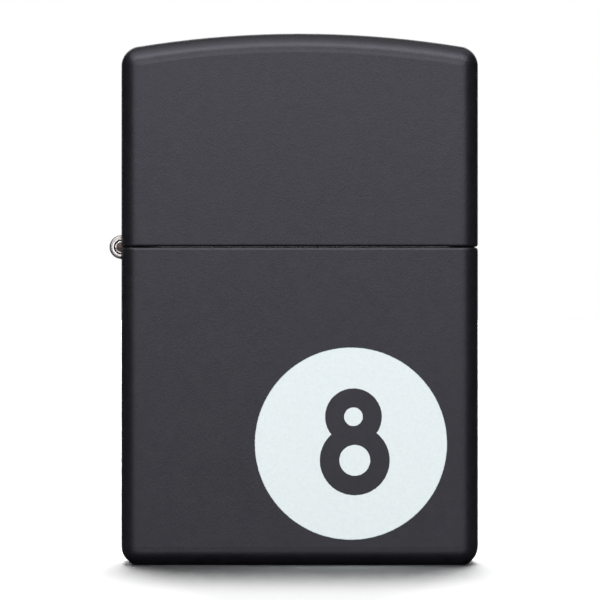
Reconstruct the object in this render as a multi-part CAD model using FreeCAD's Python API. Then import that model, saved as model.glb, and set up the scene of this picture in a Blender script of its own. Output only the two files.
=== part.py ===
"""Flip-lid windproof petrol lighter, lid closed, standing on its base.

A drawn case and its crowned lid are joined by a five-knuckle hinge on the left side.
Inside the case sits a lift-out insert: a fuel tank packed with cotton round a folded wick,
closed by a felt pad below and a deck above. The deck carries the perforated windscreen,
whose ears hold the flint wheel on the right and the snap cam on the left.
The cam rocks on a leaf spring and snaps the lid shut or open.
A sprung flint feeds up a brass tube under the wheel, from a slotted screw at the tank's foot.

Millimetres. X runs along the width with the hinge at -X, the front faces -Y, +Z is up.
The origin is the middle of the case's resting face. One STEP is written per piece.
"""
import FreeCAD
import Part
import math
import os

V = FreeCAD.Vector

# ---------------------------------------------------------------- case and lid
CASE_WIDTH = 38.1          # without the hinge barrel
CASE_DEPTH = 12.7
CASE_WALL = 0.75           # drawn brass and its coating
CORNER_R = 2.2             # upright edges, outside
EDGE_R = 2.1               # edges of the base and of the crown, outside
BODY_HEIGHT = 34.01        # base to rim
PARTING_GAP = 0.06         # between the case's rim and the lid's
LID_HEIGHT = 22.78         # lid's rim to the top of its crown
CROWN_R = 108.0            # arch of the lid's top
RIM_ROUND = 0.3            # rolled outer edge of both rims

# ---------------------------------------------------------------- hinge
HINGE_RAISE = 0.01         # axis above the middle of the parting gap
HINGE_LENGTH = 8.2
KNUCKLES = 5               # odd ones on the case, even ones on the lid
KNUCKLE_GAP = 0.1
PIN_R = 0.64
PIN_CLEARANCE = 0.06       # between the pin and the lid's knuckles
PIN_RECESS = 0.05          # pin ends below the outer knuckles' faces
PIN_DOME = 0.12            # rise of the pin's ends
LEAF_THICKNESS = 0.5
BARREL_R = 1.27
BARREL_END_ROUND = 0.28    # outer edge of the barrel's two ends
KNUCKLE_MOUTH_R = 0.82     # countersink round the pin's ends
KNUCKLE_MOUTH_DEPTH = 1.1
CURL_SEAM = 0.1            # slit where a leaf's curl comes back to the leaf
BARREL_CLEARANCE = 0.12    # round the barrel, in the notches of case, lid and leaves
BODY_LEAF_HEIGHT = 7.0     # below the hinge axis
LID_LEAF_HEIGHT = 10.6     # above the hinge axis

# ---------------------------------------------------------------- insert
INSERT_SIDE_GAP = 0.15     # insert to the case's front and back
INSERT_END_GAP = 0.2       # insert to the hinge leaf and to the far end
INSERT_STAND = 1.29        # deck above the case's rim
SEAT_CLEARANCE = 0.02
TANK_WALL = 0.4
TANK_CORNER_R = 3.4
DECK_THICKNESS = 0.4
DECK_EDGE_ROUND = 0.25
SKIRT_DEPTH = 2.0
SKIRT_WALL = 0.35

# ---------------------------------------------------------------- windscreen
SCREEN_SHEET = 0.45
SCREEN_HEIGHT = 16.2       # above the deck
SCREEN_DEPTH = 8.4
SCREEN_LENGTH = 13.2
SCREEN_CORNER_R = 2.6
SCREEN_MOUTH = 4.2         # open side, towards the wheel
AIR_HOLE_R = 1.0
AIR_HOLE_PITCH_X = 3.4
AIR_HOLE_PITCH_Z = 2.9
AIR_HOLE_ROWS = (3, 2, 3)
AIR_HOLE_TOP = 4.3         # top row below the screen's rim
EAR_JOG = 1.2              # length over which the ears step in
EAR_ROOT_DROP = 3.9        # top of the wheel ears' root below the screen's rim

# ---------------------------------------------------------------- flint wheel
WHEEL_R = 3.4              # thumb bands
STRIKE_R = 3.1             # file-cut band between them
WHEEL_WIDTH = 5.3
STRIKE_WIDTH = 2.9
THUMB_TEETH = 30
THUMB_TOOTH_DEPTH = 0.36
STRIKE_TEETH = 44
STRIKE_TOOTH_DEPTH = 0.2
WHEEL_SIDE_GAP = 0.2       # wheel to each ear
WHEEL_BORE_CLEARANCE = 0.06
WHEEL_ABOVE_DECK = 9.0     # axle above the deck
WHEEL_FROM_SCREEN = 5.2    # axle right of the screen
WHEEL_EAR_R = 2.3
AXLE_R = 0.8
AXLE_HEAD_R = 1.5
AXLE_HEAD = 0.45

# ---------------------------------------------------------------- snap cam
CAM_FROM_HINGE = 4.0       # pivot right of the hinge axis
CAM_ABOVE_HINGE = 3.3      # pivot above the hinge axis
CAM_WIDTH = 4.5
CAM_SIDE_GAP = 0.2         # cam to each ear
CAM_NOSE_R = 0.7
CAM_NOSE_GAP = 0.08        # nose to the lid's leaf, closed and open
CAM_NOSE_ALONG = 1.0       # contact along the lid's leaf from the hinge, open
CAM_ARM_R = 1.3            # half the arm's width at the pivot
CAM_HEEL_FLAT = 1.6        # pivot to each of the heel's two flats
CAM_HEEL_CORNER = 1.95     # pivot to the corner between them
CAM_PIN_R = 0.6
CAM_BORE_CLEARANCE = 0.06
CAM_PIN_HEAD_R = 1.1
CAM_PIN_HEAD = 0.35
CAM_EAR_R = 1.7
LID_OPEN_DEG = 120.0

CAM_SPRING_WIDTH = 3.6
CAM_SPRING_THICKNESS = 0.25
CAM_SPRING_REACH = 1.0     # free end left of the cam's pivot
CAM_SPRING_ROOT = 3.0      # length of the riveted foot
CAM_SPRING_STEP = 0.9      # length over which it rises to the heel
CAM_SPRING_GAP = 0.6       # foot to the windscreen
SPRING_RIVET_R = 0.5
SPRING_RIVET_HEAD_R = 0.95
SPRING_RIVET_HEAD = 0.35

# ---------------------------------------------------------------- flint feed
FLINT_R = 1.2
FLINT_LENGTH = 5.0
FLINT_CLEARANCE = 0.07     # flint in its tube
FLINT_WHEEL_GAP = 0.04
TUBE_WALL = 0.45
TUBE_BELOW_WHEEL = 0.7     # tube's mouth under the thumb bands
TIP_LENGTH = 2.2
TIP_STEM_R = 0.6
TIP_HEAD = 0.7
SCREW_HEAD_R = 2.2
SCREW_HEAD = 0.9
SCREW_SHANK = 4.0
SCREW_SLOT_WIDTH = 0.6
SCREW_SLOT_DEPTH = 0.45
SCREW_ABOVE_TANK_FOOT = 0.1
FLINT_SPRING_WIRE_R = 0.18
FLINT_SPRING_COILS = 18
FLINT_SPRING_CLEARANCE = 0.1

# ---------------------------------------------------------------- wick and packing
WICK_R = 1.4
WICK_TOP_BELOW_RIM = 4.6   # wick's end under the screen's rim
WICK_HOLE_CLEARANCE = 0.1
WICK_LEFT = 5.2            # middle of the left folds from the tank's left end
WICK_RIGHT = 4.6           # middle of the right folds from the flint tube
WICK_FIRST_BEND_R = 2.9
PACKING_PADS = 5
PACKING_GAP = 0.1          # packing to the deck and to the tank's wall
FELT_THICKNESS = 3.2
FELT_ABOVE_TANK_FOOT = 0.4
FELT_SCREW_HOLE_R = 2.5
FELT_FILL_HOLE_R = 0.9
FELT_FILL_HOLE_FROM_END = 8.0

# ---------------------------------------------------------------- printed figure
PRINT_THICKNESS = 0.04
DISC_R = 10.24
DISC_FROM_RIGHT = 13.6     # disc's centre from the case's right side
DISC_ABOVE_BASE = 13.1
FIGURE_TOP_RING = (0.27, 2.86, 3.02, 0.99)      # x, z from the disc's centre, outer and inner radius
FIGURE_FOOT_RING = (0.41, -1.78, 3.72, 1.64)

# ---------------------------------------------------------------- places worked out from the sizes
LEFT = -CASE_WIDTH / 2
RIGHT = CASE_WIDTH / 2
FRONT = -CASE_DEPTH / 2
LID_RIM = BODY_HEIGHT + PARTING_GAP
LID_TOP = LID_RIM + LID_HEIGHT

WALL_INNER_X = LEFT + CASE_WALL
LEAF_INNER_X = WALL_INNER_X + LEAF_THICKNESS
HINGE_X = LEAF_INNER_X - BARREL_R
HINGE_Z = BODY_HEIGHT + PARTING_GAP / 2 + HINGE_RAISE

INSERT_LEFT = LEAF_INNER_X + INSERT_END_GAP
INSERT_RIGHT = RIGHT - CASE_WALL - INSERT_END_GAP
INSERT_HALF_DEPTH = CASE_DEPTH / 2 - CASE_WALL - INSERT_SIDE_GAP
DECK_TOP = BODY_HEIGHT + INSERT_STAND
DECK_UNDER = DECK_TOP - DECK_THICKNESS

INNER_EDGE_R = EDGE_R - CASE_WALL
TANK_FOOT = (CASE_WALL + SEAT_CLEARANCE + INNER_EDGE_R
             - math.sqrt(INNER_EDGE_R ** 2 - (INNER_EDGE_R - INSERT_SIDE_GAP) ** 2))

CAM_X = HINGE_X + CAM_FROM_HINGE
CAM_Z = HINGE_Z + CAM_ABOVE_HINGE
CAM_EAR_INNER = CAM_WIDTH / 2 + CAM_SIDE_GAP

WHEEL_EAR_INNER = WHEEL_WIDTH / 2 + WHEEL_SIDE_GAP
WHEEL_Z = DECK_TOP + WHEEL_ABOVE_DECK
SCREEN_RIM = DECK_TOP + SCREEN_HEIGHT
CAM_SPRING_RIGHT = CAM_X + CAM_HEEL_CORNER + CAM_SPRING_STEP + CAM_SPRING_ROOT
SCREEN_LEFT = CAM_SPRING_RIGHT + CAM_SPRING_GAP
SCREEN_RIGHT = SCREEN_LEFT + SCREEN_LENGTH
WHEEL_X = SCREEN_RIGHT + WHEEL_FROM_SCREEN
WICK_X = (SCREEN_LEFT + SCREEN_RIGHT) / 2

TUBE_BORE_R = FLINT_R + FLINT_CLEARANCE
TUBE_R = TUBE_BORE_R + TUBE_WALL
TUBE_TOP = WHEEL_Z - WHEEL_R - TUBE_BELOW_WHEEL
SCREW_FOOT = TANK_FOOT + SCREW_ABOVE_TANK_FOOT
TUBE_FOOT = SCREW_FOOT + SCREW_HEAD
FLINT_TOP = WHEEL_Z - STRIKE_R
FLINT_FOOT = FLINT_TOP - FLINT_LENGTH
TIP_FOOT = FLINT_FOOT - TIP_LENGTH
FELT_FOOT = TANK_FOOT + FELT_ABOVE_TANK_FOOT
FELT_TOP = FELT_FOOT + FELT_THICKNESS


# ---------------------------------------------------------------- small shapes
def box(x0, x1, y0, y1, z0, z1):
    return Part.makeBox(x1 - x0, y1 - y0, z1 - z0, V(x0, y0, z0))


def rod_y(x, z, radius, y0, y1):
    """Cylinder along Y."""
    return Part.makeCylinder(radius, y1 - y0, V(x, y0, z), V(0, 1, 0))


def rod_z(x, radius, z0, z1):
    """Upright cylinder on the X axis."""
    return Part.makeCylinder(radius, z1 - z0, V(x, 0, z0))


def prism(points, direction):
    """Polygon swept straight along a vector."""
    return Part.Face(Part.makePolygon(list(points) + [points[0]])).extrude(direction)


def side_prism(points, half_width):
    """Outline in X and Z, made 2 * half_width thick about the middle plane."""
    corners = [V(x, -half_width, z) for x, z in points]
    return prism(corners, V(0, 2 * half_width, 0))


def slab(x0, x1, half_depth, radius, z0, z1):
    """Upright block with rounded upright edges."""
    block = box(x0, x1, -half_depth, half_depth, z0, z1)
    upright = [e for e in block.Edges if abs(e.Vertexes[0].Z - e.Vertexes[1].Z) > (z1 - z0) / 2]
    return block.makeFillet(radius, upright)


def edges_at(shape, z):
    """Edges lying in the level plane at z."""
    return [e for e in shape.Edges if abs(e.BoundBox.ZMin - z) < 1e-4 and abs(e.BoundBox.ZMax - z) < 1e-4]


def edges_across(shape, y):
    """Edges lying in the upright plane at y."""
    return [e for e in shape.Edges if abs(e.BoundBox.YMin - y) < 1e-4 and abs(e.BoundBox.YMax - y) < 1e-4]


def turned(point, centre, degrees):
    """Point (x, z) turned about a centre, anticlockwise as seen from the front."""
    a = math.radians(degrees)
    x, z = point[0] - centre[0], point[1] - centre[1]
    return (centre[0] + x * math.cos(a) - z * math.sin(a), centre[1] + x * math.sin(a) + z * math.cos(a))


def tapered_link(a, radius_a, b, radius_b, half_width):
    """Two discs and the straight sides that touch both, as one plate."""
    dx, dz = b[0] - a[0], b[1] - a[1]
    length = math.hypot(dx, dz)
    heading = math.atan2(dz, dx)
    spread = math.acos((radius_a - radius_b) / length)

    def on(centre, radius, angle):
        return (centre[0] + radius * math.cos(angle), centre[1] + radius * math.sin(angle))

    corners = [on(a, radius_a, heading + spread), on(b, radius_b, heading + spread),
               on(b, radius_b, heading - spread), on(a, radius_a, heading - spread)]
    plate = side_prism(corners, half_width)
    plate = plate.fuse(rod_y(a[0], a[1], radius_a, -half_width, half_width))
    return plate.fuse(rod_y(b[0], b[1], radius_b, -half_width, half_width)).removeSplitter()


def bent_sheet(path, thickness, z0, z1):
    """Upright sheet whose outer face follows a plan polyline; the sheet lies on its -Y side."""
    inner = []
    for i, (x, y) in enumerate(path):
        before = path[max(i - 1, 0)]
        after = path[min(i + 1, len(path) - 1)]
        turns = []
        for p, q in ((before, (x, y)), ((x, y), after)):
            if p != q:
                run = math.hypot(q[0] - p[0], q[1] - p[1])
                turns.append(((q[1] - p[1]) / run, -(q[0] - p[0]) / run))
        nx = sum(t[0] for t in turns) / len(turns)
        ny = sum(t[1] for t in turns) / len(turns)
        size = nx * nx + ny * ny
        inner.append((x + thickness * nx / size, y + thickness * ny / size))
    corners = [V(x, y, z0) for x, y in path] + [V(x, y, z0) for x, y in reversed(inner)]
    return prism(corners, V(0, 0, z1 - z0))


def both_sides(shape):
    """The shape and its mirror image across the middle plane."""
    return shape.fuse(shape.mirror(V(0, 0, 0), V(0, 1, 0)))


# ---------------------------------------------------------------- case and lid
def barrel_notch():
    """Room for the hinge barrel in a side wall, with its clearance."""
    reach = BARREL_R + BARREL_CLEARANCE
    half = HINGE_LENGTH / 2 + BARREL_CLEARANCE
    return box(LEFT - reach, WALL_INNER_X + LEAF_THICKNESS, -half, half, HINGE_Z - reach, HINGE_Z + reach)


def case_body():
    outer = slab(LEFT, RIGHT, CASE_DEPTH / 2, CORNER_R, 0, BODY_HEIGHT)
    outer = outer.makeFillet(EDGE_R, edges_at(outer, 0))
    outer = outer.makeFillet(RIM_ROUND, edges_at(outer, BODY_HEIGHT))
    inner = slab(LEFT + CASE_WALL, RIGHT - CASE_WALL, CASE_DEPTH / 2 - CASE_WALL,
                 CORNER_R - CASE_WALL, CASE_WALL, BODY_HEIGHT + 1)
    inner = inner.makeFillet(INNER_EDGE_R, edges_at(inner, CASE_WALL))
    return outer.cut(inner).cut(barrel_notch())


def crowned_block(inset, foot):
    """Solid under the lid's crown, taken in by inset on every side but its foot."""
    top = LID_TOP - inset
    block = slab(LEFT + inset, RIGHT - inset, CASE_DEPTH / 2 - inset, CORNER_R - inset, foot, top + 1)
    crown_r = CROWN_R - inset
    block = block.common(rod_y(0, top - crown_r, crown_r, -CASE_DEPTH, CASE_DEPTH))
    crown_edges = [e for e in block.Edges if e.BoundBox.ZMin > (foot + top) / 2]
    return block.makeFillet(EDGE_R - inset, crown_edges)


def case_lid():
    outer = crowned_block(0, LID_RIM)
    outer = outer.makeFillet(RIM_ROUND, edges_at(outer, LID_RIM))
    inner = crowned_block(CASE_WALL, LID_RIM - 1)
    return outer.cut(inner).cut(barrel_notch())


# ---------------------------------------------------------------- hinge
def knuckle_span(index):
    """Ends of one knuckle along Y."""
    pitch = (HINGE_LENGTH + KNUCKLE_GAP) / KNUCKLES
    start = -HINGE_LENGTH / 2 + index * pitch
    return start, start + pitch - KNUCKLE_GAP


def hinge_leaf(own, up, height, bore_r):
    """Flat leaf curled round the pin; up is +1 for the lid's leaf and -1 for the case's."""
    clear = BARREL_R + BARREL_CLEARANCE
    half = HINGE_LENGTH / 2
    x0 = LEAF_INNER_X - LEAF_THICKNESS
    near, far = sorted((HINGE_Z + up * clear, HINGE_Z + up * height))
    leaf = box(x0, LEAF_INNER_X, -half, half, near, far)
    for index in own:
        y0, y1 = knuckle_span(index)
        barrel = rod_y(HINGE_X, HINGE_Z, BARREL_R, y0, y1)
        ends = edges_across(barrel, -half) + edges_across(barrel, half)
        if ends:
            barrel = barrel.makeFillet(BARREL_END_ROUND, ends)
        low, high = sorted((HINGE_Z, HINGE_Z + up * clear))
        curl = barrel.fuse(box(x0, LEAF_INNER_X, y0, y1, low, high))
        low, high = sorted((HINGE_Z + up * bore_r / 3, HINGE_Z + up * clear))
        seam = box(x0 - CURL_SEAM, x0, y0, y1, low, high)
        leaf = leaf.fuse(curl.cut(seam))
    bore = rod_y(HINGE_X, HINGE_Z, bore_r, -half, half)
    return leaf.cut(bore).removeSplitter()


def body_hinge_leaf():
    leaf = hinge_leaf(range(0, KNUCKLES, 2), -1, BODY_LEAF_HEIGHT, PIN_R)
    half = HINGE_LENGTH / 2
    for y0, y1 in ((-half, -half + KNUCKLE_MOUTH_DEPTH), (half - KNUCKLE_MOUTH_DEPTH, half)):
        leaf = leaf.cut(rod_y(HINGE_X, HINGE_Z, KNUCKLE_MOUTH_R, y0, y1))
    return leaf


def lid_hinge_leaf():
    return hinge_leaf(range(1, KNUCKLES, 2), 1, LID_LEAF_HEIGHT, PIN_R + PIN_CLEARANCE)


def hinge_pin():
    half = HINGE_LENGTH / 2 - PIN_RECESS
    shoulder = half - PIN_DOME
    dome_r = (PIN_R ** 2 + PIN_DOME ** 2) / (2 * PIN_DOME)
    pin = rod_y(HINGE_X, HINGE_Z, PIN_R, -shoulder, shoulder)
    for side in (-1, 1):
        near, far = sorted((side * shoulder, side * half))
        ball = Part.makeSphere(dome_r, V(HINGE_X, side * (half - dome_r), HINGE_Z))
        pin = pin.fuse(rod_y(HINGE_X, HINGE_Z, PIN_R, near, far).common(ball))
    return pin.removeSplitter()


# ---------------------------------------------------------------- insert
def tank_block(inset, z0, z1):
    """Solid of the tank's plan, taken in by inset."""
    return slab(INSERT_LEFT + inset, INSERT_RIGHT - inset, INSERT_HALF_DEPTH - inset,
                TANK_CORNER_R - inset, z0, z1)


def insert_tank():
    return tank_block(0, TANK_FOOT, DECK_UNDER).cut(tank_block(TANK_WALL, TANK_FOOT - 1, DECK_UNDER + 1))


def insert_deck():
    plate = tank_block(0, DECK_UNDER, DECK_TOP)
    plate = plate.makeFillet(DECK_EDGE_ROUND, edges_at(plate, DECK_TOP))
    skirt = tank_block(TANK_WALL, DECK_UNDER - SKIRT_DEPTH, DECK_UNDER)
    skirt = skirt.cut(tank_block(TANK_WALL + SKIRT_WALL, DECK_UNDER - SKIRT_DEPTH - 1, DECK_UNDER + 1))
    deck = plate.fuse(skirt)
    wick_hole_r = WICK_R + WICK_HOLE_CLEARANCE
    for x, radius in ((WICK_X, wick_hole_r), (WHEEL_X, TUBE_R), (spring_rivet_x(), SPRING_RIVET_R)):
        deck = deck.cut(rod_z(x, radius, DECK_UNDER - 1, DECK_TOP + 1))
    return deck.removeSplitter()


def screen_block(inset, z0, z1):
    """Solid of the windscreen's plan, taken in by inset."""
    return slab(SCREEN_LEFT + inset, SCREEN_RIGHT - inset, SCREEN_DEPTH / 2 - inset,
                SCREEN_CORNER_R - inset, z0, z1)


def air_holes():
    """Holes through the front and back of the screen, in staggered rows."""
    holes = []
    for row, count in enumerate(AIR_HOLE_ROWS):
        z = SCREEN_RIM - AIR_HOLE_TOP - row * AIR_HOLE_PITCH_Z
        for i in range(count):
            x = WICK_X + (i - (count - 1) / 2) * AIR_HOLE_PITCH_X
            holes.append(rod_y(x, z, AIR_HOLE_R, -SCREEN_DEPTH, SCREEN_DEPTH))
    return holes


def ear_outline(x, z, radius, root_x, root_top):
    """Side view of an ear: round about its pin, straight down to the deck and carried over to its root."""
    lug = rod_y(x, z, radius, -SCREEN_DEPTH, SCREEN_DEPTH)
    lug = lug.fuse(box(x - radius, x + radius, -SCREEN_DEPTH, SCREEN_DEPTH, DECK_TOP, z))
    web = side_prism([(x, DECK_TOP), (root_x, DECK_TOP), (root_x, root_top), (x, z + radius)], SCREEN_DEPTH)
    return lug.fuse(web)


def wheel_ear_outline():
    root_x = SCREEN_RIGHT - SCREEN_CORNER_R
    return ear_outline(WHEEL_X, WHEEL_Z, WHEEL_EAR_R, root_x, SCREEN_RIM - EAR_ROOT_DROP)


def wheel_ears():
    """Side plates that carry on from the screen, step in and hold the wheel's axle."""
    outer = SCREEN_DEPTH / 2
    ear = WHEEL_EAR_INNER + SCREEN_SHEET
    path = [(SCREEN_RIGHT - SCREEN_CORNER_R, outer), (SCREEN_RIGHT, outer),
            (SCREEN_RIGHT + EAR_JOG, ear), (WHEEL_X + WHEEL_EAR_R, ear)]
    return both_sides(bent_sheet(path, SCREEN_SHEET, DECK_TOP, SCREEN_RIM).common(wheel_ear_outline()))


def cam_ears():
    """Low side plates left of the screen that step in and hold the cam's pin."""
    outer = SCREEN_DEPTH / 2
    ear = CAM_EAR_INNER + SCREEN_SHEET
    root = SCREEN_LEFT + SCREEN_CORNER_R
    path = [(CAM_X - CAM_EAR_R, ear), (SCREEN_LEFT - EAR_JOG, ear), (SCREEN_LEFT, outer), (root, outer)]
    outline = ear_outline(CAM_X, CAM_Z, CAM_EAR_R, root, CAM_Z + CAM_EAR_R)
    return both_sides(bent_sheet(path, SCREEN_SHEET, DECK_TOP, SCREEN_RIM).common(outline))


def windscreen():
    """Folded sheet round the wick: closed on the left, its right end curled in above the wheel ears only."""
    screen = screen_block(0, DECK_TOP, SCREEN_RIM)
    screen = screen.cut(screen_block(SCREEN_SHEET, DECK_TOP - 1, SCREEN_RIM + 1))
    mouth = SCREEN_MOUTH / 2
    screen = screen.cut(box(WICK_X, SCREEN_RIGHT + 1, -mouth, mouth, DECK_TOP - 1, SCREEN_RIM + 1))
    screen = screen.cut(wheel_ear_outline())
    screen = screen.fuse(wheel_ears()).fuse(cam_ears())
    for hole in air_holes():
        screen = screen.cut(hole)
    screen = screen.cut(rod_y(WHEEL_X, WHEEL_Z, AXLE_R, -SCREEN_DEPTH, SCREEN_DEPTH))
    screen = screen.cut(rod_y(CAM_X, CAM_Z, CAM_PIN_R, -SCREEN_DEPTH, SCREEN_DEPTH))
    return screen.removeSplitter()


def rivet_y(x, z, radius, head_r, head, half_grip):
    """Rivet along Y with a low domed head at each end."""
    rivet = rod_y(x, z, radius, -half_grip, half_grip)
    for side in (-1, 1):
        low, high = sorted((side * half_grip, side * (half_grip + head)))
        cap = rod_y(x, z, head_r, low, high)
        rim = [e for e in cap.Edges if abs(e.BoundBox.YMin - side * (half_grip + head)) < 1e-6
               and e.BoundBox.YLength < 1e-6]
        rivet = rivet.fuse(cap.makeFillet(head * 0.6, rim))
    return rivet.removeSplitter()


# ---------------------------------------------------------------- flint wheel
def toothed_disc(radius, depth, teeth, lean, y0, y1):
    """Disc with V teeth along its rim; lean moves the root towards one flank, 0.5 is even."""
    points = []
    for i in range(teeth):
        for share, r in ((0, radius), (lean, radius - depth)):
            a = 2 * math.pi * (i + share) / teeth
            points.append(V(WHEEL_X + r * math.cos(a), y0, WHEEL_Z + r * math.sin(a)))
    return prism(points, V(0, y1 - y0, 0))


def flint_wheel():
    half = WHEEL_WIDTH / 2
    strike = STRIKE_WIDTH / 2
    wheel = toothed_disc(STRIKE_R, STRIKE_TOOTH_DEPTH, STRIKE_TEETH, 0.8, -strike, strike)
    for y0, y1 in ((-half, -strike), (strike, half)):
        wheel = wheel.fuse(toothed_disc(WHEEL_R, THUMB_TOOTH_DEPTH, THUMB_TEETH, 0.5, y0, y1))
    bore = rod_y(WHEEL_X, WHEEL_Z, AXLE_R + WHEEL_BORE_CLEARANCE, -WHEEL_WIDTH, WHEEL_WIDTH)
    return wheel.cut(bore)


def wheel_rivet():
    return rivet_y(WHEEL_X, WHEEL_Z, AXLE_R, AXLE_HEAD_R, AXLE_HEAD, WHEEL_EAR_INNER + SCREEN_SHEET)


# ---------------------------------------------------------------- snap cam
def cam_nose_closed():
    """Nose's centre with the lid closed, on the circle that also takes it to its open place."""
    x = LEAF_INNER_X + CAM_NOSE_R + CAM_NOSE_GAP
    reach = math.dist((CAM_X, CAM_Z), cam_nose_open())
    return (x, CAM_Z + math.sqrt(reach ** 2 - (x - CAM_X) ** 2))


def cam_nose_open():
    """Nose's centre with the lid open, resting on the turned leaf."""
    off = BARREL_R + CAM_NOSE_R + CAM_NOSE_GAP
    return turned((HINGE_X + off, HINGE_Z + CAM_NOSE_ALONG), (HINGE_X, HINGE_Z), LID_OPEN_DEG)


def cam_swing():
    """Degrees that the cam turns while the lid opens."""
    closed, opened = cam_nose_closed(), cam_nose_open()
    start = math.atan2(closed[1] - CAM_Z, closed[0] - CAM_X)
    end = math.atan2(opened[1] - CAM_Z, opened[0] - CAM_X)
    return math.degrees(end - start) % 360


def cam_heel():
    """Disc with two flats for the leaf spring: one rests on it when shut and the other when open."""
    half = CAM_WIDTH / 2
    big = 2 * CAM_HEEL_CORNER
    heel = rod_y(CAM_X, CAM_Z, CAM_HEEL_CORNER, -half, half)
    shut_flat = box(CAM_X - big, CAM_X + big, -big, big, CAM_Z - big, CAM_Z - CAM_HEEL_FLAT)
    open_flat = shut_flat.copy()
    open_flat.rotate(V(CAM_X, 0, CAM_Z), V(0, 1, 0), cam_swing())
    return heel.cut(shut_flat).cut(open_flat)


def open_leaf_room():
    """Room that the lid's curled leaf needs beside the open cam, turned back with the cam."""
    half = CAM_WIDTH / 2
    room = rod_y(HINGE_X, HINGE_Z, BARREL_R + BARREL_CLEARANCE, -half, half)
    corner_x = LEAF_INNER_X + CAM_NOSE_GAP
    room = room.fuse(box(HINGE_X, corner_x, -half, half, HINGE_Z, HINGE_Z + CAM_NOSE_ALONG))
    room.rotate(V(HINGE_X, 0, HINGE_Z), V(0, -1, 0), LID_OPEN_DEG)
    room.rotate(V(CAM_X, 0, CAM_Z), V(0, -1, 0), -cam_swing())
    return room


def snap_cam():
    half = CAM_WIDTH / 2
    cam = tapered_link((CAM_X, CAM_Z), CAM_ARM_R, cam_nose_closed(), CAM_NOSE_R, half)
    cam = cam.fuse(cam_heel()).cut(open_leaf_room())
    return cam.cut(rod_y(CAM_X, CAM_Z, CAM_PIN_R + CAM_BORE_CLEARANCE, -half, half)).removeSplitter()


def cam_rivet():
    return rivet_y(CAM_X, CAM_Z, CAM_PIN_R, CAM_PIN_HEAD_R, CAM_PIN_HEAD, CAM_EAR_INNER + SCREEN_SHEET)


def spring_rivet_x():
    return CAM_SPRING_RIGHT - CAM_SPRING_ROOT / 2


def cam_spring():
    """Leaf spring: a foot on the deck, a short step and a free end under the cam's heel."""
    t = CAM_SPRING_THICKNESS
    free = CAM_Z - CAM_HEEL_FLAT
    step_left = CAM_X + CAM_HEEL_CORNER
    step_right = step_left + CAM_SPRING_STEP
    end = CAM_X - CAM_SPRING_REACH
    line = [(CAM_SPRING_RIGHT, DECK_TOP), (step_right, DECK_TOP), (step_left, free - t), (end, free - t)]
    outline = line + [(x, z + t) for x, z in reversed(line)]
    spring = side_prism(outline, CAM_SPRING_WIDTH / 2)
    return spring.cut(rod_z(spring_rivet_x(), SPRING_RIVET_R, DECK_TOP - 1, DECK_TOP + 1))


def spring_rivet():
    top = DECK_TOP + CAM_SPRING_THICKNESS
    rivet = rod_z(spring_rivet_x(), SPRING_RIVET_R, DECK_UNDER, top)
    rivet = rivet.fuse(rod_z(spring_rivet_x(), SPRING_RIVET_HEAD_R, top, top + SPRING_RIVET_HEAD))
    head = rod_z(spring_rivet_x(), SPRING_RIVET_HEAD_R, DECK_UNDER - SPRING_RIVET_HEAD, DECK_UNDER)
    return rivet.fuse(head)


# ---------------------------------------------------------------- flint feed
def flint_tube():
    bore = rod_z(WHEEL_X, TUBE_BORE_R, TUBE_FOOT - 1, TUBE_TOP + 1)
    return rod_z(WHEEL_X, TUBE_R, TUBE_FOOT, TUBE_TOP).cut(bore)


def flint():
    """Rod with its top worn to the wheel's round."""
    rod = rod_z(WHEEL_X, FLINT_R, FLINT_FOOT, WHEEL_Z)
    return rod.cut(rod_y(WHEEL_X, WHEEL_Z, STRIKE_R + FLINT_WHEEL_GAP, -WHEEL_R, WHEEL_R))


def spring_tip():
    """Plug between flint and spring, with a stem inside the spring's last coils."""
    head = rod_z(WHEEL_X, FLINT_R, FLINT_FOOT - TIP_HEAD, FLINT_FOOT)
    return head.fuse(rod_z(WHEEL_X, TIP_STEM_R, TIP_FOOT, FLINT_FOOT - TIP_HEAD))


def flint_spring():
    coil_r = TUBE_BORE_R - FLINT_SPRING_CLEARANCE - FLINT_SPRING_WIRE_R
    foot = TUBE_FOOT + SCREW_SHANK + FLINT_SPRING_WIRE_R
    top = FLINT_FOOT - TIP_HEAD - FLINT_SPRING_WIRE_R
    height = top - foot
    helix = Part.makeHelix(height / FLINT_SPRING_COILS, height, coil_r)
    helix.translate(V(WHEEL_X, 0, foot))
    section = Part.Wire(Part.makeCircle(FLINT_SPRING_WIRE_R, V(WHEEL_X + coil_r, 0, foot), V(0, 1, 0)))
    return Part.Wire(helix.Edges).makePipeShell([section], True, True)


def flint_screw():
    head = rod_z(WHEEL_X, SCREW_HEAD_R, SCREW_FOOT, TUBE_FOOT)
    slot_half = SCREW_SLOT_WIDTH / 2
    slot = box(WHEEL_X - SCREW_HEAD_R, WHEEL_X + SCREW_HEAD_R, -slot_half, slot_half,
               SCREW_FOOT - 1, SCREW_FOOT + SCREW_SLOT_DEPTH)
    return head.cut(slot).fuse(rod_z(WHEEL_X, TUBE_BORE_R, TUBE_FOOT, TUBE_FOOT + SCREW_SHANK))


# ---------------------------------------------------------------- wick and packing
def packing_level(i):
    """Height of the joint between packing pads, counted from the felt upwards."""
    return FELT_TOP + (DECK_UNDER - PACKING_GAP - FELT_TOP) * i / PACKING_PADS


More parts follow.
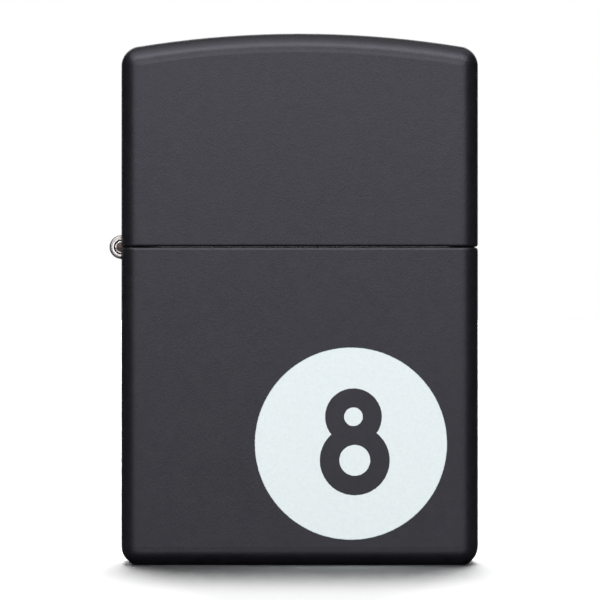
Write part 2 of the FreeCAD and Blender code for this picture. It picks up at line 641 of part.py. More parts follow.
def wick_line():
    """The wick's centreline: straight down from the screen, then folded to and fro between the pads."""
    left = INSERT_LEFT + WICK_LEFT
    right = WHEEL_X - TUBE_R - WICK_RIGHT
    fold_r = (packing_level(1) - packing_level(0)) / 2
    bend = WICK_FIRST_BEND_R
    z = packing_level(PACKING_PADS - 1)
    top = V(WICK_X, 0, SCREEN_RIM - WICK_TOP_BELOW_RIM)
    foot = V(WICK_X, 0, z + bend)
    slant = bend * (1 - math.sqrt(0.5))
    corner = Part.Arc(foot, V(WICK_X - slant, 0, z + slant), V(WICK_X - bend, 0, z))
    edges = [Part.LineSegment(top, foot).toShape(), corner.toShape()]
    x = WICK_X - bend
    for level in range(PACKING_PADS - 1, 0, -1):
        heading_left = (PACKING_PADS - 1 - level) % 2 == 0
        end = left if heading_left else right
        edges.append(Part.LineSegment(V(x, 0, z), V(end, 0, z)).toShape())
        x = end
        if level > 1:
            bulge = -fold_r if heading_left else fold_r
            fold = Part.Arc(V(x, 0, z), V(x + bulge, 0, z - fold_r), V(x, 0, z - 2 * fold_r))
            edges.append(fold.toShape())
            z -= 2 * fold_r
    return Part.Wire(edges)


def along_wick(radius):
    start = V(WICK_X, 0, SCREEN_RIM - WICK_TOP_BELOW_RIM)
    section = Part.Wire(Part.makeCircle(radius, start, V(0, 0, 1)))
    return wick_line().makePipeShell([section], True, False)


def packing_pad(i):
    """One pad of the tank's filling, with grooves for the wick, the flint tube and the rivet."""
    pad = tank_block(TANK_WALL + SKIRT_WALL + PACKING_GAP, packing_level(i), packing_level(i + 1))
    pad = pad.cut(rod_z(WHEEL_X, TUBE_R, 0, DECK_TOP))
    pad = pad.cut(rod_z(spring_rivet_x(), SPRING_RIVET_HEAD_R, DECK_UNDER - SPRING_RIVET_HEAD, DECK_TOP))
    return pad.cut(along_wick(WICK_R))


def felt_pad():
    felt = tank_block(TANK_WALL, FELT_FOOT, FELT_TOP)
    felt = felt.cut(rod_z(WHEEL_X, FELT_SCREW_HOLE_R, FELT_FOOT - 1, FELT_TOP + 1))
    fill_x = INSERT_LEFT + FELT_FILL_HOLE_FROM_END
    return felt.cut(rod_z(fill_x, FELT_FILL_HOLE_R, FELT_FOOT - 1, FELT_TOP + 1))


# ---------------------------------------------------------------- printed figure
def number_print():
    """White ink disc on the case's front with the figure eight left clear in it."""
    cx, cz = RIGHT - DISC_FROM_RIGHT, DISC_ABOVE_BASE
    back = FRONT
    front = FRONT - PRINT_THICKNESS

    def dot(x, z, radius):
        return rod_y(cx + x, cz + z, radius, front, back)

    disc = dot(0, 0, DISC_R)
    for x, z, outer, inner in (FIGURE_TOP_RING, FIGURE_FOOT_RING):
        disc = disc.cut(dot(x, z, outer))
    eyes = [dot(x, z, inner) for x, z, outer, inner in (FIGURE_TOP_RING, FIGURE_FOOT_RING)]
    return Part.makeCompound([disc] + eyes)


# ---------------------------------------------------------------- the whole lighter
PIECES = {
    "case_body": case_body, "number_print": number_print, "body_hinge_leaf": body_hinge_leaf,
    "hinge_pin": hinge_pin, "case_lid": case_lid, "lid_hinge_leaf": lid_hinge_leaf,
    "insert_tank": insert_tank, "insert_deck": insert_deck, "windscreen": windscreen,
    "flint_wheel": flint_wheel, "wheel_rivet": wheel_rivet,
    "snap_cam": snap_cam, "cam_rivet": cam_rivet, "cam_spring": cam_spring, "spring_rivet": spring_rivet,
    "flint_tube": flint_tube, "flint": flint, "spring_tip": spring_tip,
    "flint_spring": flint_spring, "flint_screw": flint_screw,
    "wick": lambda: along_wick(WICK_R), "felt_pad": felt_pad,
}
for number in range(PACKING_PADS):
    PIECES[f"packing_{number + 1}"] = lambda level=number: packing_pad(level)

os.makedirs("parts", exist_ok=True)
for name, make in PIECES.items():
    make().exportStep(f"parts/{name}.step")
ratio = cam_swing() / LID_OPEN_DEG
print(f"cam turns {cam_swing():.3f} degrees for the lid's {LID_OPEN_DEG:g}: ratio {ratio:.5f}")
print(f"hinge axis {HINGE_X:.4f} {HINGE_Z:.4f}, cam pivot {CAM_X:.4f} {CAM_Z:.4f}")
print(f"wheel's axle {WHEEL_X:.4f} {WHEEL_Z:.4f}")
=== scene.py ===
"""Flip-lid windproof petrol lighter: its finishes, its soft pieces, the studio and the camera.

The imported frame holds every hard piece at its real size. This script gives each one its finish. It puts
the printed disc, the braided wick, the flint spring, the cotton packing and the felt pad in place of
their plain solids, and sets the lighter on a white floor under soft studio light.
Metres, in the frame's own axes: X along the width with the hinge at -X, the front faces -Y.
"""
import math

import bpy
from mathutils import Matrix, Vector, noise


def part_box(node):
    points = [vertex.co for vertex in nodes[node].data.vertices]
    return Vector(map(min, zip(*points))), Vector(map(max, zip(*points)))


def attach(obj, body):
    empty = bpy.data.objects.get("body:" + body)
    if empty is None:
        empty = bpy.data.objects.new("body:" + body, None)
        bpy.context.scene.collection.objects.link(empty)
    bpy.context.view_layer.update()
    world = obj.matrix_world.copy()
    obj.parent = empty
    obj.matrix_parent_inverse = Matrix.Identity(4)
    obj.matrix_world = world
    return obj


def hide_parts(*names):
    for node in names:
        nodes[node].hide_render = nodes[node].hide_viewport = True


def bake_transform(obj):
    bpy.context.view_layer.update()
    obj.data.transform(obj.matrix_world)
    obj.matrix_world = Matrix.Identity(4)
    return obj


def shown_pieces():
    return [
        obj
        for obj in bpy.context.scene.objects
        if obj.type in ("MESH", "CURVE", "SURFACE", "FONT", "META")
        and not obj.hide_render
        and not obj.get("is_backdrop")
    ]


MM = 0.001
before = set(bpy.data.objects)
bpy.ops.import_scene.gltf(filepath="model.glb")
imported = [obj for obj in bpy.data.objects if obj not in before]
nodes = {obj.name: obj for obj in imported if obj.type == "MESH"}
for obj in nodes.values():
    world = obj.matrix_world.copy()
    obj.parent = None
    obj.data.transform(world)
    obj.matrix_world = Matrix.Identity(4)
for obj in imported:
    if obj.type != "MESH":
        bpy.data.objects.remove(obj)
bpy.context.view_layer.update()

case_low, case_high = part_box("case_body")
CASE_WIDTH = case_high.x - case_low.x
OVERALL_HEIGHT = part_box("case_lid")[1].z - case_low.z


# ---------------------------------------------------------------- camera
CASE_SHARE = 0.594167              # case's width, as a share of the view's side
CASE_MIDDLE = 0.4995               # case's middle across the view, from its left
BASE_LINE = 0.942667               # resting face down the view, from its top
CAMERA_DISTANCE = 500 * MM         # from the case's front
OUTLINE_DEPTH = 2.2 * MM           # behind the front, where the case is widest to the eye
SENSOR = 36.0
CLIP_START = 10 * MM
CLIP_END = 20.0


def make_camera():
    """Long lens square to the printed front."""
    view_side = CASE_WIDTH / CASE_SHARE
    data = bpy.data.cameras.new("studio_camera")
    camera = bpy.data.objects.new("studio_camera", data)
    bpy.context.scene.collection.objects.link(camera)
    data.sensor_width = SENSOR
    data.lens = SENSOR * (CAMERA_DISTANCE + OUTLINE_DEPTH) / view_side
    data.clip_start = CLIP_START
    data.clip_end = CLIP_END
    middle_x = (case_low.x + case_high.x) / 2 + (0.5 - CASE_MIDDLE) * view_side
    middle_z = case_low.z + (BASE_LINE - 0.5) * view_side
    camera.location = (middle_x, case_low.y - CAMERA_DISTANCE, middle_z)
    camera.rotation_euler = (math.radians(90), 0, 0)
    bpy.context.scene.camera = camera


make_camera()


# ---------------------------------------------------------------- shader helpers
def add_node(tree, kind, inputs=None, **settings):
    """New node with its settings and socket values; a socket value may be another node's output."""
    node = tree.nodes.new(kind)
    for key, value in settings.items():
        setattr(node, key, value)
    for key, value in (inputs or {}).items():
        if isinstance(value, bpy.types.NodeSocket):
            tree.links.new(value, node.inputs[key])
        else:
            node.inputs[key].default_value = value
    return node


def maths(tree, operation, *terms, **settings):
    """Result of one operation on values."""
    node = add_node(tree, "ShaderNodeMath", dict(enumerate(terms)), operation=operation, **settings)
    return node.outputs[0]


def vector_maths(tree, operation, *terms, result="Vector"):
    """Result of one operation on vectors; result names the output, Vector or Value."""
    node = add_node(tree, "ShaderNodeVectorMath", dict(enumerate(terms)), operation=operation)
    return node.outputs[result]


def span(tree, value, limits=(0.0, 1.0), to=(0.0, 1.0)):
    """Value carried from one range to another, and held at its ends."""
    sockets = dict(enumerate((value, *limits, *to)))
    return add_node(tree, "ShaderNodeMapRange", sockets).outputs[0]


def mix_values(tree, share, first, second):
    """Value between two others by a share."""
    return add_node(tree, "ShaderNodeMix", {0: share, 2: first, 3: second}, data_type="FLOAT").outputs[0]


def tint(colour):
    """Colour as a socket takes it; another node's output stays as it is."""
    return colour if isinstance(colour, bpy.types.NodeSocket) else (*colour, 1.0)


def mix_tints(tree, mask, first, second):
    """Colour between two tints by a mask."""
    sockets = {0: mask, 6: tint(first), 7: tint(second)}
    return add_node(tree, "ShaderNodeMix", sockets, data_type="RGBA").outputs[2]


def own_place(tree):
    """Place of each point on its piece."""
    return add_node(tree, "ShaderNodeTexCoord").outputs["Object"]


def scale_for(tree, size):
    """Texture scale that gives patches of a size."""
    return maths(tree, "DIVIDE", 1.0, size)


def clouds(tree, place, scale, **shape):
    """Soft noise; shape holds values for the texture's other sockets."""
    return add_node(tree, "ShaderNodeTexNoise", {"Vector": place, "Scale": scale, **shape}).outputs[0]


def new_group(name, inputs, output):
    """Shader node group with one float output: its tree, its given values and its output's socket."""
    group = bpy.data.node_groups.new(name, "ShaderNodeTree")
    for socket, kind, value in inputs:
        made = group.interface.new_socket(socket, in_out="INPUT", socket_type=f"NodeSocket{kind}")
        made.default_value = value
    group.interface.new_socket(output, in_out="OUTPUT", socket_type="NodeSocketFloat")
    source = group.nodes.new("NodeGroupInput")
    sink = group.nodes.new("NodeGroupOutput")
    return group, source.outputs, sink.inputs[output]


def use_group(tree, group, **values):
    """Places a node group in a material with its own values; returns the group's output."""
    return add_node(tree, "ShaderNodeGroup", values, node_tree=group).outputs[0]


# ---------------------------------------------------------------- shared effects
RIPPLE_SCALE = 0.4                 # grain's ripple beside its speckle
MASK_MIDDLE = 0.5
RUBBED = (0.01, 0.12)              # how far a normal is turned where wear begins, and where it is full
UNSHADED_RANGE = (0.35, 0.85)                # how much is open round a point in full painted shade, and round one with none
RING_PATCH = 0.35 * MM
RING_WORN = (0.32, 0.52)           # noise where a ring is still dull, and where it is bright
FRONT_PLANE = (1, 0, 1)


def make_grain_group():
    """Fine isotropic grain: a rounded speckle over a softer ripple."""
    group, given, height = new_group(
        "fine_grain", [("Size", "Float", 0.2 * MM), ("Softness", "Float", 0.5)], "Height")
    place = own_place(group)
    scale = scale_for(group, given["Size"])
    cells = add_node(group, "ShaderNodeTexVoronoi", {"Vector": place, "Scale": scale}, feature="SMOOTH_F1")
    ripple = clouds(group, place, maths(group, "MULTIPLY", scale, RIPPLE_SCALE), Detail=3.0)
    group.links.new(mix_values(group, given["Softness"], cells.outputs["Distance"], ripple), height)
    return group


def make_drift_group():
    """Slow uneven patches, as handling and uneven curing leave."""
    group, given, value = new_group(
        "slow_drift", [("Size", "Float", 8 * MM), ("Contrast", "Float", 0.5)], "Value")
    scale = scale_for(group, given["Size"])
    patches = clouds(group, own_place(group), scale, Detail=4.0, Roughness=0.55, Distortion=0.6)
    centred = maths(group, "SUBTRACT", patches, MASK_MIDDLE)
    spread = maths(group, "MULTIPLY", centred, given["Contrast"])
    group.links.new(maths(group, "ADD", spread, MASK_MIDDLE, use_clamp=True), value)
    return group


def make_brushing_group():
    """Streaks of a brushed or rolled sheet: noise drawn out along one axis."""
    group, given, height = new_group(
        "brushing", [("Along", "Vector", (1.0, 1.0, 1.0)), ("Size", "Float", 0.08 * MM)], "Height")
    drawn = vector_maths(group, "MULTIPLY", own_place(group), given["Along"])
    group.links.new(clouds(group, drawn, scale_for(group, given["Size"]), Detail=4.0, Roughness=0.6), height)
    return group


def make_edge_group():
    """Mask of the outer edges, where handling rubs: the bevelled normal departs from the face's own."""
    group, given, mask = new_group(
        "edge_wear", [("Width", "Float", 0.2 * MM), ("Breakup", "Float", 0.4 * MM)], "Mask")
    rounded = add_node(group, "ShaderNodeBevel", {"Radius": given["Width"]}, samples=4).outputs[0]
    flat = add_node(group, "ShaderNodeNewGeometry").outputs["Normal"]
    likeness = vector_maths(group, "DOT_PRODUCT", rounded, flat, result="Value")
    patches = clouds(group, own_place(group), scale_for(group, given["Breakup"]), Detail=3.0)
    rubbed = maths(group, "MULTIPLY", maths(group, "SUBTRACT", 1.0, likeness), patches)
    group.links.new(span(group, rubbed, RUBBED), mask)
    return group


def make_painted_shade_group():
    """Mask of painted shade: 1 on open faces, 0 deep in narrow gaps, which are painted dark as shade."""
    group, given, mask = new_group("unshaded_mask", [("Reach", "Float", 0.4 * MM)], "Mask")
    around = add_node(group, "ShaderNodeAmbientOcclusion", {"Distance": given["Reach"]}, samples=8)
    group.links.new(span(group, around.outputs["AO"], UNSHADED_RANGE), mask)
    return group


def make_ring_group():
    """Mask of a ring about an axis that runs from front to back, unevenly worn."""
    inputs = [("Axis", "Vector", (0.0, 0.0, 0.0)), ("Inner", "Float", 0.0), ("Outer", "Float", 1 * MM)]
    group, given, mask = new_group("turned_ring", inputs, "Mask")
    place = own_place(group)
    flat = vector_maths(group, "MULTIPLY", place, FRONT_PLANE)
    reach = vector_maths(group, "DISTANCE", flat, given["Axis"], result="Value")
    beyond = maths(group, "GREATER_THAN", reach, given["Inner"])
    within = maths(group, "LESS_THAN", reach, given["Outer"])
    worn = span(group, clouds(group, place, 1 / RING_PATCH, Detail=3.0), RING_WORN)
    group.links.new(maths(group, "MULTIPLY", maths(group, "MULTIPLY", beyond, within), worn), mask)
    return group


grain_group = make_grain_group()
drift_group = make_drift_group()
brushing_group = make_brushing_group()
edge_group = make_edge_group()
painted_shade_group = make_painted_shade_group()
ring_group = make_ring_group()


def new_material(name, **constants):
    """Material with its tree and its Principled BSDF; constants are the shader's plain socket values."""
    material = bpy.data.materials.new(name)
    material.use_nodes = True
    tree = material.node_tree
    shader = tree.nodes["Principled BSDF"]
    for key, value in constants.items():
        shader.inputs[key.replace("_", " ")].default_value = value
    return material, tree, shader


def drive_colour(tree, shader, colour):
    """Base colour from a node's output."""
    tree.links.new(colour, shader.inputs["Base Color"])


def drive_roughness(tree, shader, mask, low, high):
    """Roughness between two values by a mask."""
    tree.links.new(span(tree, mask, to=(low, high)), shader.inputs["Roughness"])


def drive_bump(tree, shader, height, depth):
    """Fine relief of a depth, from a height between 0 and 1."""
    bump = add_node(tree, "ShaderNodeBump", {"Height": height, "Distance": depth})
    tree.links.new(bump.outputs[0], shader.inputs["Normal"])


# ---------------------------------------------------------------- finishes
COAT_DARK = (0.0030, 0.0027, 0.0050)
COAT_PALE = (0.0110, 0.0106, 0.0136)
COAT_GLOSS = (0.88, 0.87, 1.0)
COAT_MOTTLE = 0.75                 # share of the small mottle in the coat's tone, the rest being slow drift


def black_coat():
    """Baked matt black coating with a fine powdery grain."""
    material, tree, shader = new_material("black_coat", Specular_IOR_Level=0.52,
                                          Specular_Tint=tint(COAT_GLOSS))
    drift = use_group(tree, drift_group, Size=6 * MM, Contrast=1.4)
    mottle = use_group(tree, drift_group, Size=0.95 * MM, Contrast=1.75)
    tone = mix_values(tree, COAT_MOTTLE, drift, mottle)
    drive_colour(tree, shader, mix_tints(tree, tone, COAT_DARK, COAT_PALE))
    drive_roughness(tree, shader, drift, low=0.36, high=0.40)
    grain = use_group(tree, grain_group, Size=0.16 * MM, Softness=0.55)
    drive_bump(tree, shader, grain, depth=0.0135 * MM)
    return material


INK_THIN = (0.600, 0.655, 0.670)
INK_THICK = (0.681, 0.739, 0.754)
INK_FEATHERED = (0.44, 0.54, 0.58)
FEATHER_WIDTH = 0.12 * MM          # of the disc's rim, where the ink runs out
print_low, print_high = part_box("number_print")
DISC_R = (print_high.x - print_low.x) / 2
DISC_X = (print_low.x + print_high.x) / 2
DISC_Z = (print_low.z + print_high.z) / 2


def white_ink():
    """Matt white ink, faintly mottled where it lies thicker and thinner."""
    material, tree, shader = new_material("white_ink", Roughness=0.62, Specular_IOR_Level=0.3)
    mottle = use_group(tree, drift_group, Size=0.25 * MM, Contrast=1.5)
    body = mix_tints(tree, mottle, INK_THIN, INK_THICK)
    centre = (DISC_X, print_low.y, DISC_Z)
    reach = vector_maths(tree, "DISTANCE", own_place(tree), centre, result="Value")
    rim = span(tree, reach, (DISC_R - FEATHER_WIDTH, DISC_R))
    drive_colour(tree, shader, mix_tints(tree, rim, body, INK_FEATHERED))
    grain = use_group(tree, grain_group, Size=0.12 * MM, Softness=0.6)
    drive_bump(tree, shader, grain, depth=0.006 * MM)
    return material


# Streaks by axis: at 1 they keep their size, at 0.02 they are drawn out to 50 times their size.
ISOTROPIC = (1.0, 1.0, 1.0)
DRAWN_X = (0.02, 1.0, 1.0)
DRAWN_Y = (1.0, 0.05, 1.0)
DRAWN_Z = (1.0, 1.0, 0.02)
TURNED = (0.05, 0.05, 1.0)
# Painted shade: the dark colour laid into a steel's narrow gaps.
PAINTED_GAP_SHADE = (0.008, 0.0075, 0.007)
BURNISHED = (0.86, 0.84, 0.83)
DULL_PATCH = 0.82                  # brightness of a metal's dull patches beside its clean ones
SMOOTHER, ROUGHER = 0.08, 0.10     # how far the streaks take a steel's roughness down and up

pin_low, pin_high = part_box("hinge_pin")
PIN_AXIS = ((pin_low.x + pin_high.x) / 2, 0, (pin_low.z + pin_high.z) / 2)
PIN_R = (pin_high.x - pin_low.x) / 2
MOUTH_RING = (PIN_AXIS, 0.80 * MM, 0.94 * MM)      # burnished edge of the barrel's mouth
PIN_RING = (PIN_AXIS, PIN_R - 0.09 * MM, PIN_R)    # and of the pin's end


def steel(name, colour, rough, along, size, depth=0.002 * MM, edge_shine=None, shaded_gaps=None, ring=None):
    """Steel sheet or wire, with streaks of a size and a depth along one axis.

    Edges are rubbed as bright as edge_shine, and gaps narrower than the given reach are painted dark as
    shade.
    A ring (axis, inner and outer radius) is burnished bright.
    """
    material, tree, shader = new_material(name, Metallic=1.0)
    streaks = use_group(tree, brushing_group, Along=along, Size=size)
    drift = use_group(tree, drift_group, Size=4 * MM, Contrast=1.2)
    dull = tuple(DULL_PATCH * channel for channel in colour)
    shown = mix_tints(tree, drift, dull, colour)
    if edge_shine:
        edges = use_group(tree, edge_group, Width=0.12 * MM, Breakup=0.5 * MM)
        shown = mix_tints(tree, edges, shown, (edge_shine,) * 3)
    if ring:
        axis, inner, outer = ring
        burnished = use_group(tree, ring_group, Axis=axis, Inner=inner, Outer=outer)
        shown = mix_tints(tree, burnished, shown, BURNISHED)
    # Painted shade: narrow gaps darkened where little is open around them.
    if shaded_gaps:
        unshaded_mask = use_group(tree, painted_shade_group, Reach=shaded_gaps)
        shown = mix_tints(tree, unshaded_mask, PAINTED_GAP_SHADE, shown)
    drive_colour(tree, shader, shown)
    drive_roughness(tree, shader, streaks, low=rough - SMOOTHER, high=rough + ROUGHER)
    drive_bump(tree, shader, streaks, depth)
    return material


def brass():
    """Turned brass, a little warm and dull."""
    material, tree, shader = new_material("plain_brass", Metallic=1.0)
    rings = use_group(tree, brushing_group, Along=TURNED, Size=0.06 * MM)
    drift = use_group(tree, drift_group, Size=3 * MM, Contrast=1.4)
    drive_colour(tree, shader, mix_tints(tree, drift, (0.56, 0.39, 0.17), (0.80, 0.60, 0.30)))
    drive_roughness(tree, shader, rings, low=0.2, high=0.36)
    drive_bump(tree, shader, rings, depth=0.003 * MM)
    return material


def flint_alloy():
    """Dark sintered rod with a sooty, crumbly face."""
    material, tree, shader = new_material("flint_alloy", Metallic=0.6)
    grain = use_group(tree, grain_group, Size=0.22 * MM, Softness=0.35)
    drive_colour(tree, shader, mix_tints(tree, grain, (0.03, 0.03, 0.032), (0.13, 0.125, 0.12)))
    drive_roughness(tree, shader, grain, low=0.5, high=0.8)
    drive_bump(tree, shader, grain, depth=0.04 * MM)
    return material


LAID_X = (0.2, 1.0, 1.0)
LAID_Z = (1.0, 1.0, 0.2)
UPRIGHT_FIBRE = 1.3                # size of the upright fibres beside the level ones
CHAR = (0.012, 0.010, 0.009)
CHAR_LENGTH = 1.9 * MM
CHAR_TIP = 0.2 * MM                # length at the end that is burnt all through
CHAR_UNEVENNESS = 1.6 * MM


def cotton(name, low, high, fibre, depth, charred_to=None):
    """Matt cotton with fibre-sized streaks in two directions; charred_to is the height of a burnt end."""
    material, tree, shader = new_material(name, Roughness=0.95, Specular_IOR_Level=0.15, Sheen_Weight=0.35,
                                          Sheen_Roughness=0.5)
    level = use_group(tree, brushing_group, Along=LAID_X, Size=fibre)
    upright = use_group(tree, brushing_group, Along=LAID_Z, Size=fibre * UPRIGHT_FIBRE)
    fibres = maths(tree, "MAXIMUM", level, upright)
    shown = mix_tints(tree, fibres, low, high)
    if charred_to:
        height = add_node(tree, "ShaderNodeSeparateXYZ", {0: own_place(tree)}).outputs["Z"]
        ragged = maths(tree, "MULTIPLY_ADD", fibres, CHAR_UNEVENNESS, height)
        top = charred_to + CHAR_UNEVENNESS / 2
        burnt = span(tree, ragged, (top - CHAR_LENGTH, top - CHAR_TIP))
        shown = mix_tints(tree, burnt, shown, CHAR)
    drive_colour(tree, shader, shown)
    drive_bump(tree, shader, fibres, depth)
    return material


COAT = black_coat()
INK = white_ink()
# The hinge's narrow gaps carry painted shade.
HINGE_STEEL = steel("hinge_steel", (0.36, 0.33, 0.325), rough=0.36, along=ISOTROPIC, size=0.22 * MM,
                    depth=0.03 * MM, shaded_gaps=0.35 * MM, ring=MOUTH_RING)
PIN_STEEL = steel("pin_steel", (0.075, 0.060, 0.052), rough=0.40, along=ISOTROPIC, size=0.15 * MM,
                  depth=0.01 * MM, ring=PIN_RING)
TANK_STEEL = steel("insert_steel", (0.46, 0.46, 0.45), rough=0.36, along=DRAWN_X, size=0.05 * MM)
SCREEN_STEEL = steel("screen_steel", (0.50, 0.50, 0.49), rough=0.32, along=DRAWN_Z, size=0.05 * MM)
WHEEL_STEEL = steel("wheel_steel", (0.33, 0.33, 0.34), rough=0.38, along=ISOTROPIC, size=0.12 * MM,
                    edge_shine=0.75)
RIVET_STEEL = steel("rivet_steel", (0.78, 0.77, 0.75), rough=0.24, along=ISOTROPIC, size=0.15 * MM)
CAM_STEEL = steel("cam_steel", (0.62, 0.61, 0.60), rough=0.30, along=DRAWN_Y, size=0.07 * MM,
                  edge_shine=0.85)
SPRING_STEEL = steel("spring_steel", (0.50, 0.50, 0.52), rough=0.26, along=ISOTROPIC, size=0.10 * MM)
BRASS = brass()
FLINT = flint_alloy()
WICK_COTTON = cotton("wick_cotton", (0.55, 0.52, 0.45), (0.85, 0.83, 0.77), fibre=0.05 * MM,
                     depth=0.02 * MM, charred_to=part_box("wick")[1].z)
COTTON_WOOL = cotton("cotton_wool", (0.78, 0.77, 0.74), (0.92, 0.92, 0.90), fibre=0.08 * MM,
                     depth=0.05 * MM)
FELT = cotton("white_felt", (0.70, 0.70, 0.68), (0.88, 0.88, 0.86), fibre=0.12 * MM, depth=0.04 * MM)

FINISHES = {
    "case_body": COAT, "case_lid": COAT,
    "body_hinge_leaf": HINGE_STEEL, "lid_hinge_leaf": HINGE_STEEL, "hinge_pin": PIN_STEEL,
    "insert_tank": TANK_STEEL, "insert_deck": TANK_STEEL, "windscreen": SCREEN_STEEL,
    "flint_wheel": WHEEL_STEEL,
    "wheel_rivet": RIVET_STEEL, "cam_rivet": RIVET_STEEL, "spring_rivet": RIVET_STEEL,
    "snap_cam": CAM_STEEL, "cam_spring": SPRING_STEEL, "flint_spring": SPRING_STEEL,
    "flint_tube": BRASS, "flint_screw": BRASS, "spring_tip": BRASS, "flint": FLINT,
}


def dress(obj, material):
    """Gives an object one finish."""
    obj.data.materials.clear()
    obj.data.materials.append(material)


for node_name, finish in FINISHES.items():
    dress(nodes[node_name], finish)


def add_piece(name, data, material, body):
    """New object of the part, riding on a body and finished from a slot."""
    piece = bpy.data.objects.new(name, data)
    bpy.context.scene.collection.objects.link(piece)
    dress(piece, material)
    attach(piece, body)
    return piece


# ---------------------------------------------------------------- printed disc
# Rings of the figure: x and z from the disc's centre, outer and inner radius.
FIGURE_TOP_RING = (0.27 * MM, 2.86 * MM, 3.02 * MM, 0.99 * MM)
FIGURE_FOOT_RING = (0.41 * MM, -1.78 * MM, 3.72 * MM, 1.64 * MM)
PRINT_STEP = 0.04 * MM             # spacing of points along the ink's edge
PRINT_EDGE_ROUGHNESS = 0.035 * MM
PRINT_EDGE_PERIOD = 0.12 * MM      # mesh of the printing screen
LEAST_ARC_POINTS = 8


def rough_arc(cx, cz, radius, start, end):
    """Points along an arc, with the stepped edge that a printing screen leaves."""
    count = max(LEAST_ARC_POINTS, round(abs(end - start) * radius / PRINT_STEP))
    points = []
    for i in range(count):
        angle = start + (end - start) * i / count
        x, z = cx + radius * math.cos(angle), cz + radius * math.sin(angle)
        nudge = PRINT_EDGE_ROUGHNESS * noise.noise(Vector((x, 0, z)) / PRINT_EDGE_PERIOD)
        points.append((x + nudge * math.cos(angle), z + nudge * math.sin(angle)))
    return points


def figure_outline():
    """Outside of the figure eight: the two rings' outer circles as one loop."""
    (top_x, top_z, top_r, _), (foot_x, foot_z, foot_r, _) = FIGURE_TOP_RING, FIGURE_FOOT_RING
    gap = math.hypot(top_x - foot_x, top_z - foot_z)
    heading = math.atan2(foot_z - top_z, foot_x - top_x)
    top_half = math.acos((top_r ** 2 + gap ** 2 - foot_r ** 2) / (2 * top_r * gap))
    foot_half = math.acos((foot_r ** 2 + gap ** 2 - top_r ** 2) / (2 * foot_r * gap))
    top_end = heading + 2 * math.pi - top_half
    top = rough_arc(DISC_X + top_x, DISC_Z + top_z, top_r, heading + top_half, top_end)
    foot_start = heading + math.pi + foot_half
    foot_end = foot_start + 2 * (math.pi - foot_half)
    foot = rough_arc(DISC_X + foot_x, DISC_Z + foot_z, foot_r, foot_start, foot_end)
    return top + foot


def make_print():
    """Ink film with the figure eight left clear in it."""
    full = 2 * math.pi
    loops = [rough_arc(DISC_X, DISC_Z, DISC_R - PRINT_EDGE_ROUGHNESS / 2, 0, full), figure_outline()]
    for dx, dz, _, eye in (FIGURE_TOP_RING, FIGURE_FOOT_RING):
        loops.append(rough_arc(DISC_X + dx, DISC_Z + dz, eye, 0, full))
    curve = bpy.data.curves.new("printed_disc_outline", "CURVE")
    curve.dimensions = "2D"
    curve.fill_mode = "BOTH"
    curve.extrude = (print_high.y - print_low.y) / 2
    for loop in loops:
        spline = curve.splines.new("POLY")
        spline.points.add(len(loop) - 1)
        for point, (x, z) in zip(spline.points, loop):
            point.co = (x, z, 0, 1)
        spline.use_cyclic_u = True
    flat = bpy.data.objects.new("printed_disc_flat", curve)
    mesh = bpy.data.meshes.new_from_object(flat)
    bpy.data.objects.remove(flat)
    middle_y = (print_low.y + print_high.y) / 2
    for vertex in mesh.vertices:
        x, z, depth = vertex.co
        vertex.co = (x, middle_y - depth, z)
    piece = add_piece("printed_disc", mesh, INK, "case")
    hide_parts("number_print")


make_print()


# ---------------------------------------------------------------- braided wick
LEVEL = 0.001 * MM                 # points this close in height lie on one rim


def ring_at_top(node):
    """Centre and radius of a node's top end."""
    top = max(v.co.z for v in nodes[node].data.vertices)
    rim = [v.co for v in nodes[node].data.vertices if top - v.co.z < LEVEL]
    low, high = min(p.x for p in rim), max(p.x for p in rim)
    return Vector(((low + high) / 2, 0, top)), (high - low) / 2


WICK_TOP, WICK_R = ring_at_top("wick")
wick_low, wick_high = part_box("wick")
PADS = 5
PAD_JOINTS = [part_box(f"packing_{i}")[1].z for i in range(PADS - 1, 0, -1)]
FOLD_R = (PAD_JOINTS[0] - PAD_JOINTS[1]) / 2
FIRST_BEND_R = 2.9 * MM
WICK_STEP = 0.3 * MM
CARRIERS = 8                       # strands each way round
BRAID_PITCH = 5.2 * MM
STRAND_R = 0.24 * MM
STRAND_SIDES = 6
BRAID_LIFT = 0.12 * MM
COPPER_R = 0.1 * MM
COPPER_SIDES = 5
ACROSS = Vector((0, 1, 0))         # square to the plane that the wick is folded in


def wick_route():
    """Evenly spaced points down the wick: straight into the tank, then folded between the pads."""
    left = wick_low.x + WICK_R + FOLD_R
    right = wick_high.x - WICK_R - FOLD_R
    points = []

    def line(a, b):
        """Points of a straight stretch, without its end."""
        count = max(1, round((b - a).length / WICK_STEP))
        points.extend(a.lerp(b, i / count) for i in range(count))

    def arc(centre, radius, start, end):
        """Points of a bend, without its end."""
        count = max(2, round(abs(end - start) * radius / WICK_STEP))
        for i in range(count):
            angle = start + (end - start) * i / count
            points.append(centre + Vector((radius * math.cos(angle), 0, radius * math.sin(angle))))

    z = PAD_JOINTS[0]
    bend_centre = Vector((WICK_TOP.x - FIRST_BEND_R, 0, z + FIRST_BEND_R))
    line(WICK_TOP, bend_centre + Vector((FIRST_BEND_R, 0, 0)))
    arc(bend_centre, FIRST_BEND_R, 0, -math.pi / 2)
    here = Vector((bend_centre.x, 0, z))
    for level, z in enumerate(PAD_JOINTS):
        going_left = level % 2 == 0
        there = Vector((left if going_left else right, 0, z))
        line(here, there)
        here = there
        if level < len(PAD_JOINTS) - 1:
            turn = math.pi if going_left else -math.pi
            arc(there - Vector((0, 0, FOLD_R)), FOLD_R, math.pi / 2, math.pi / 2 + turn)
            here = there - Vector((0, 0, 2 * FOLD_R))
    points.append(here)
    return points


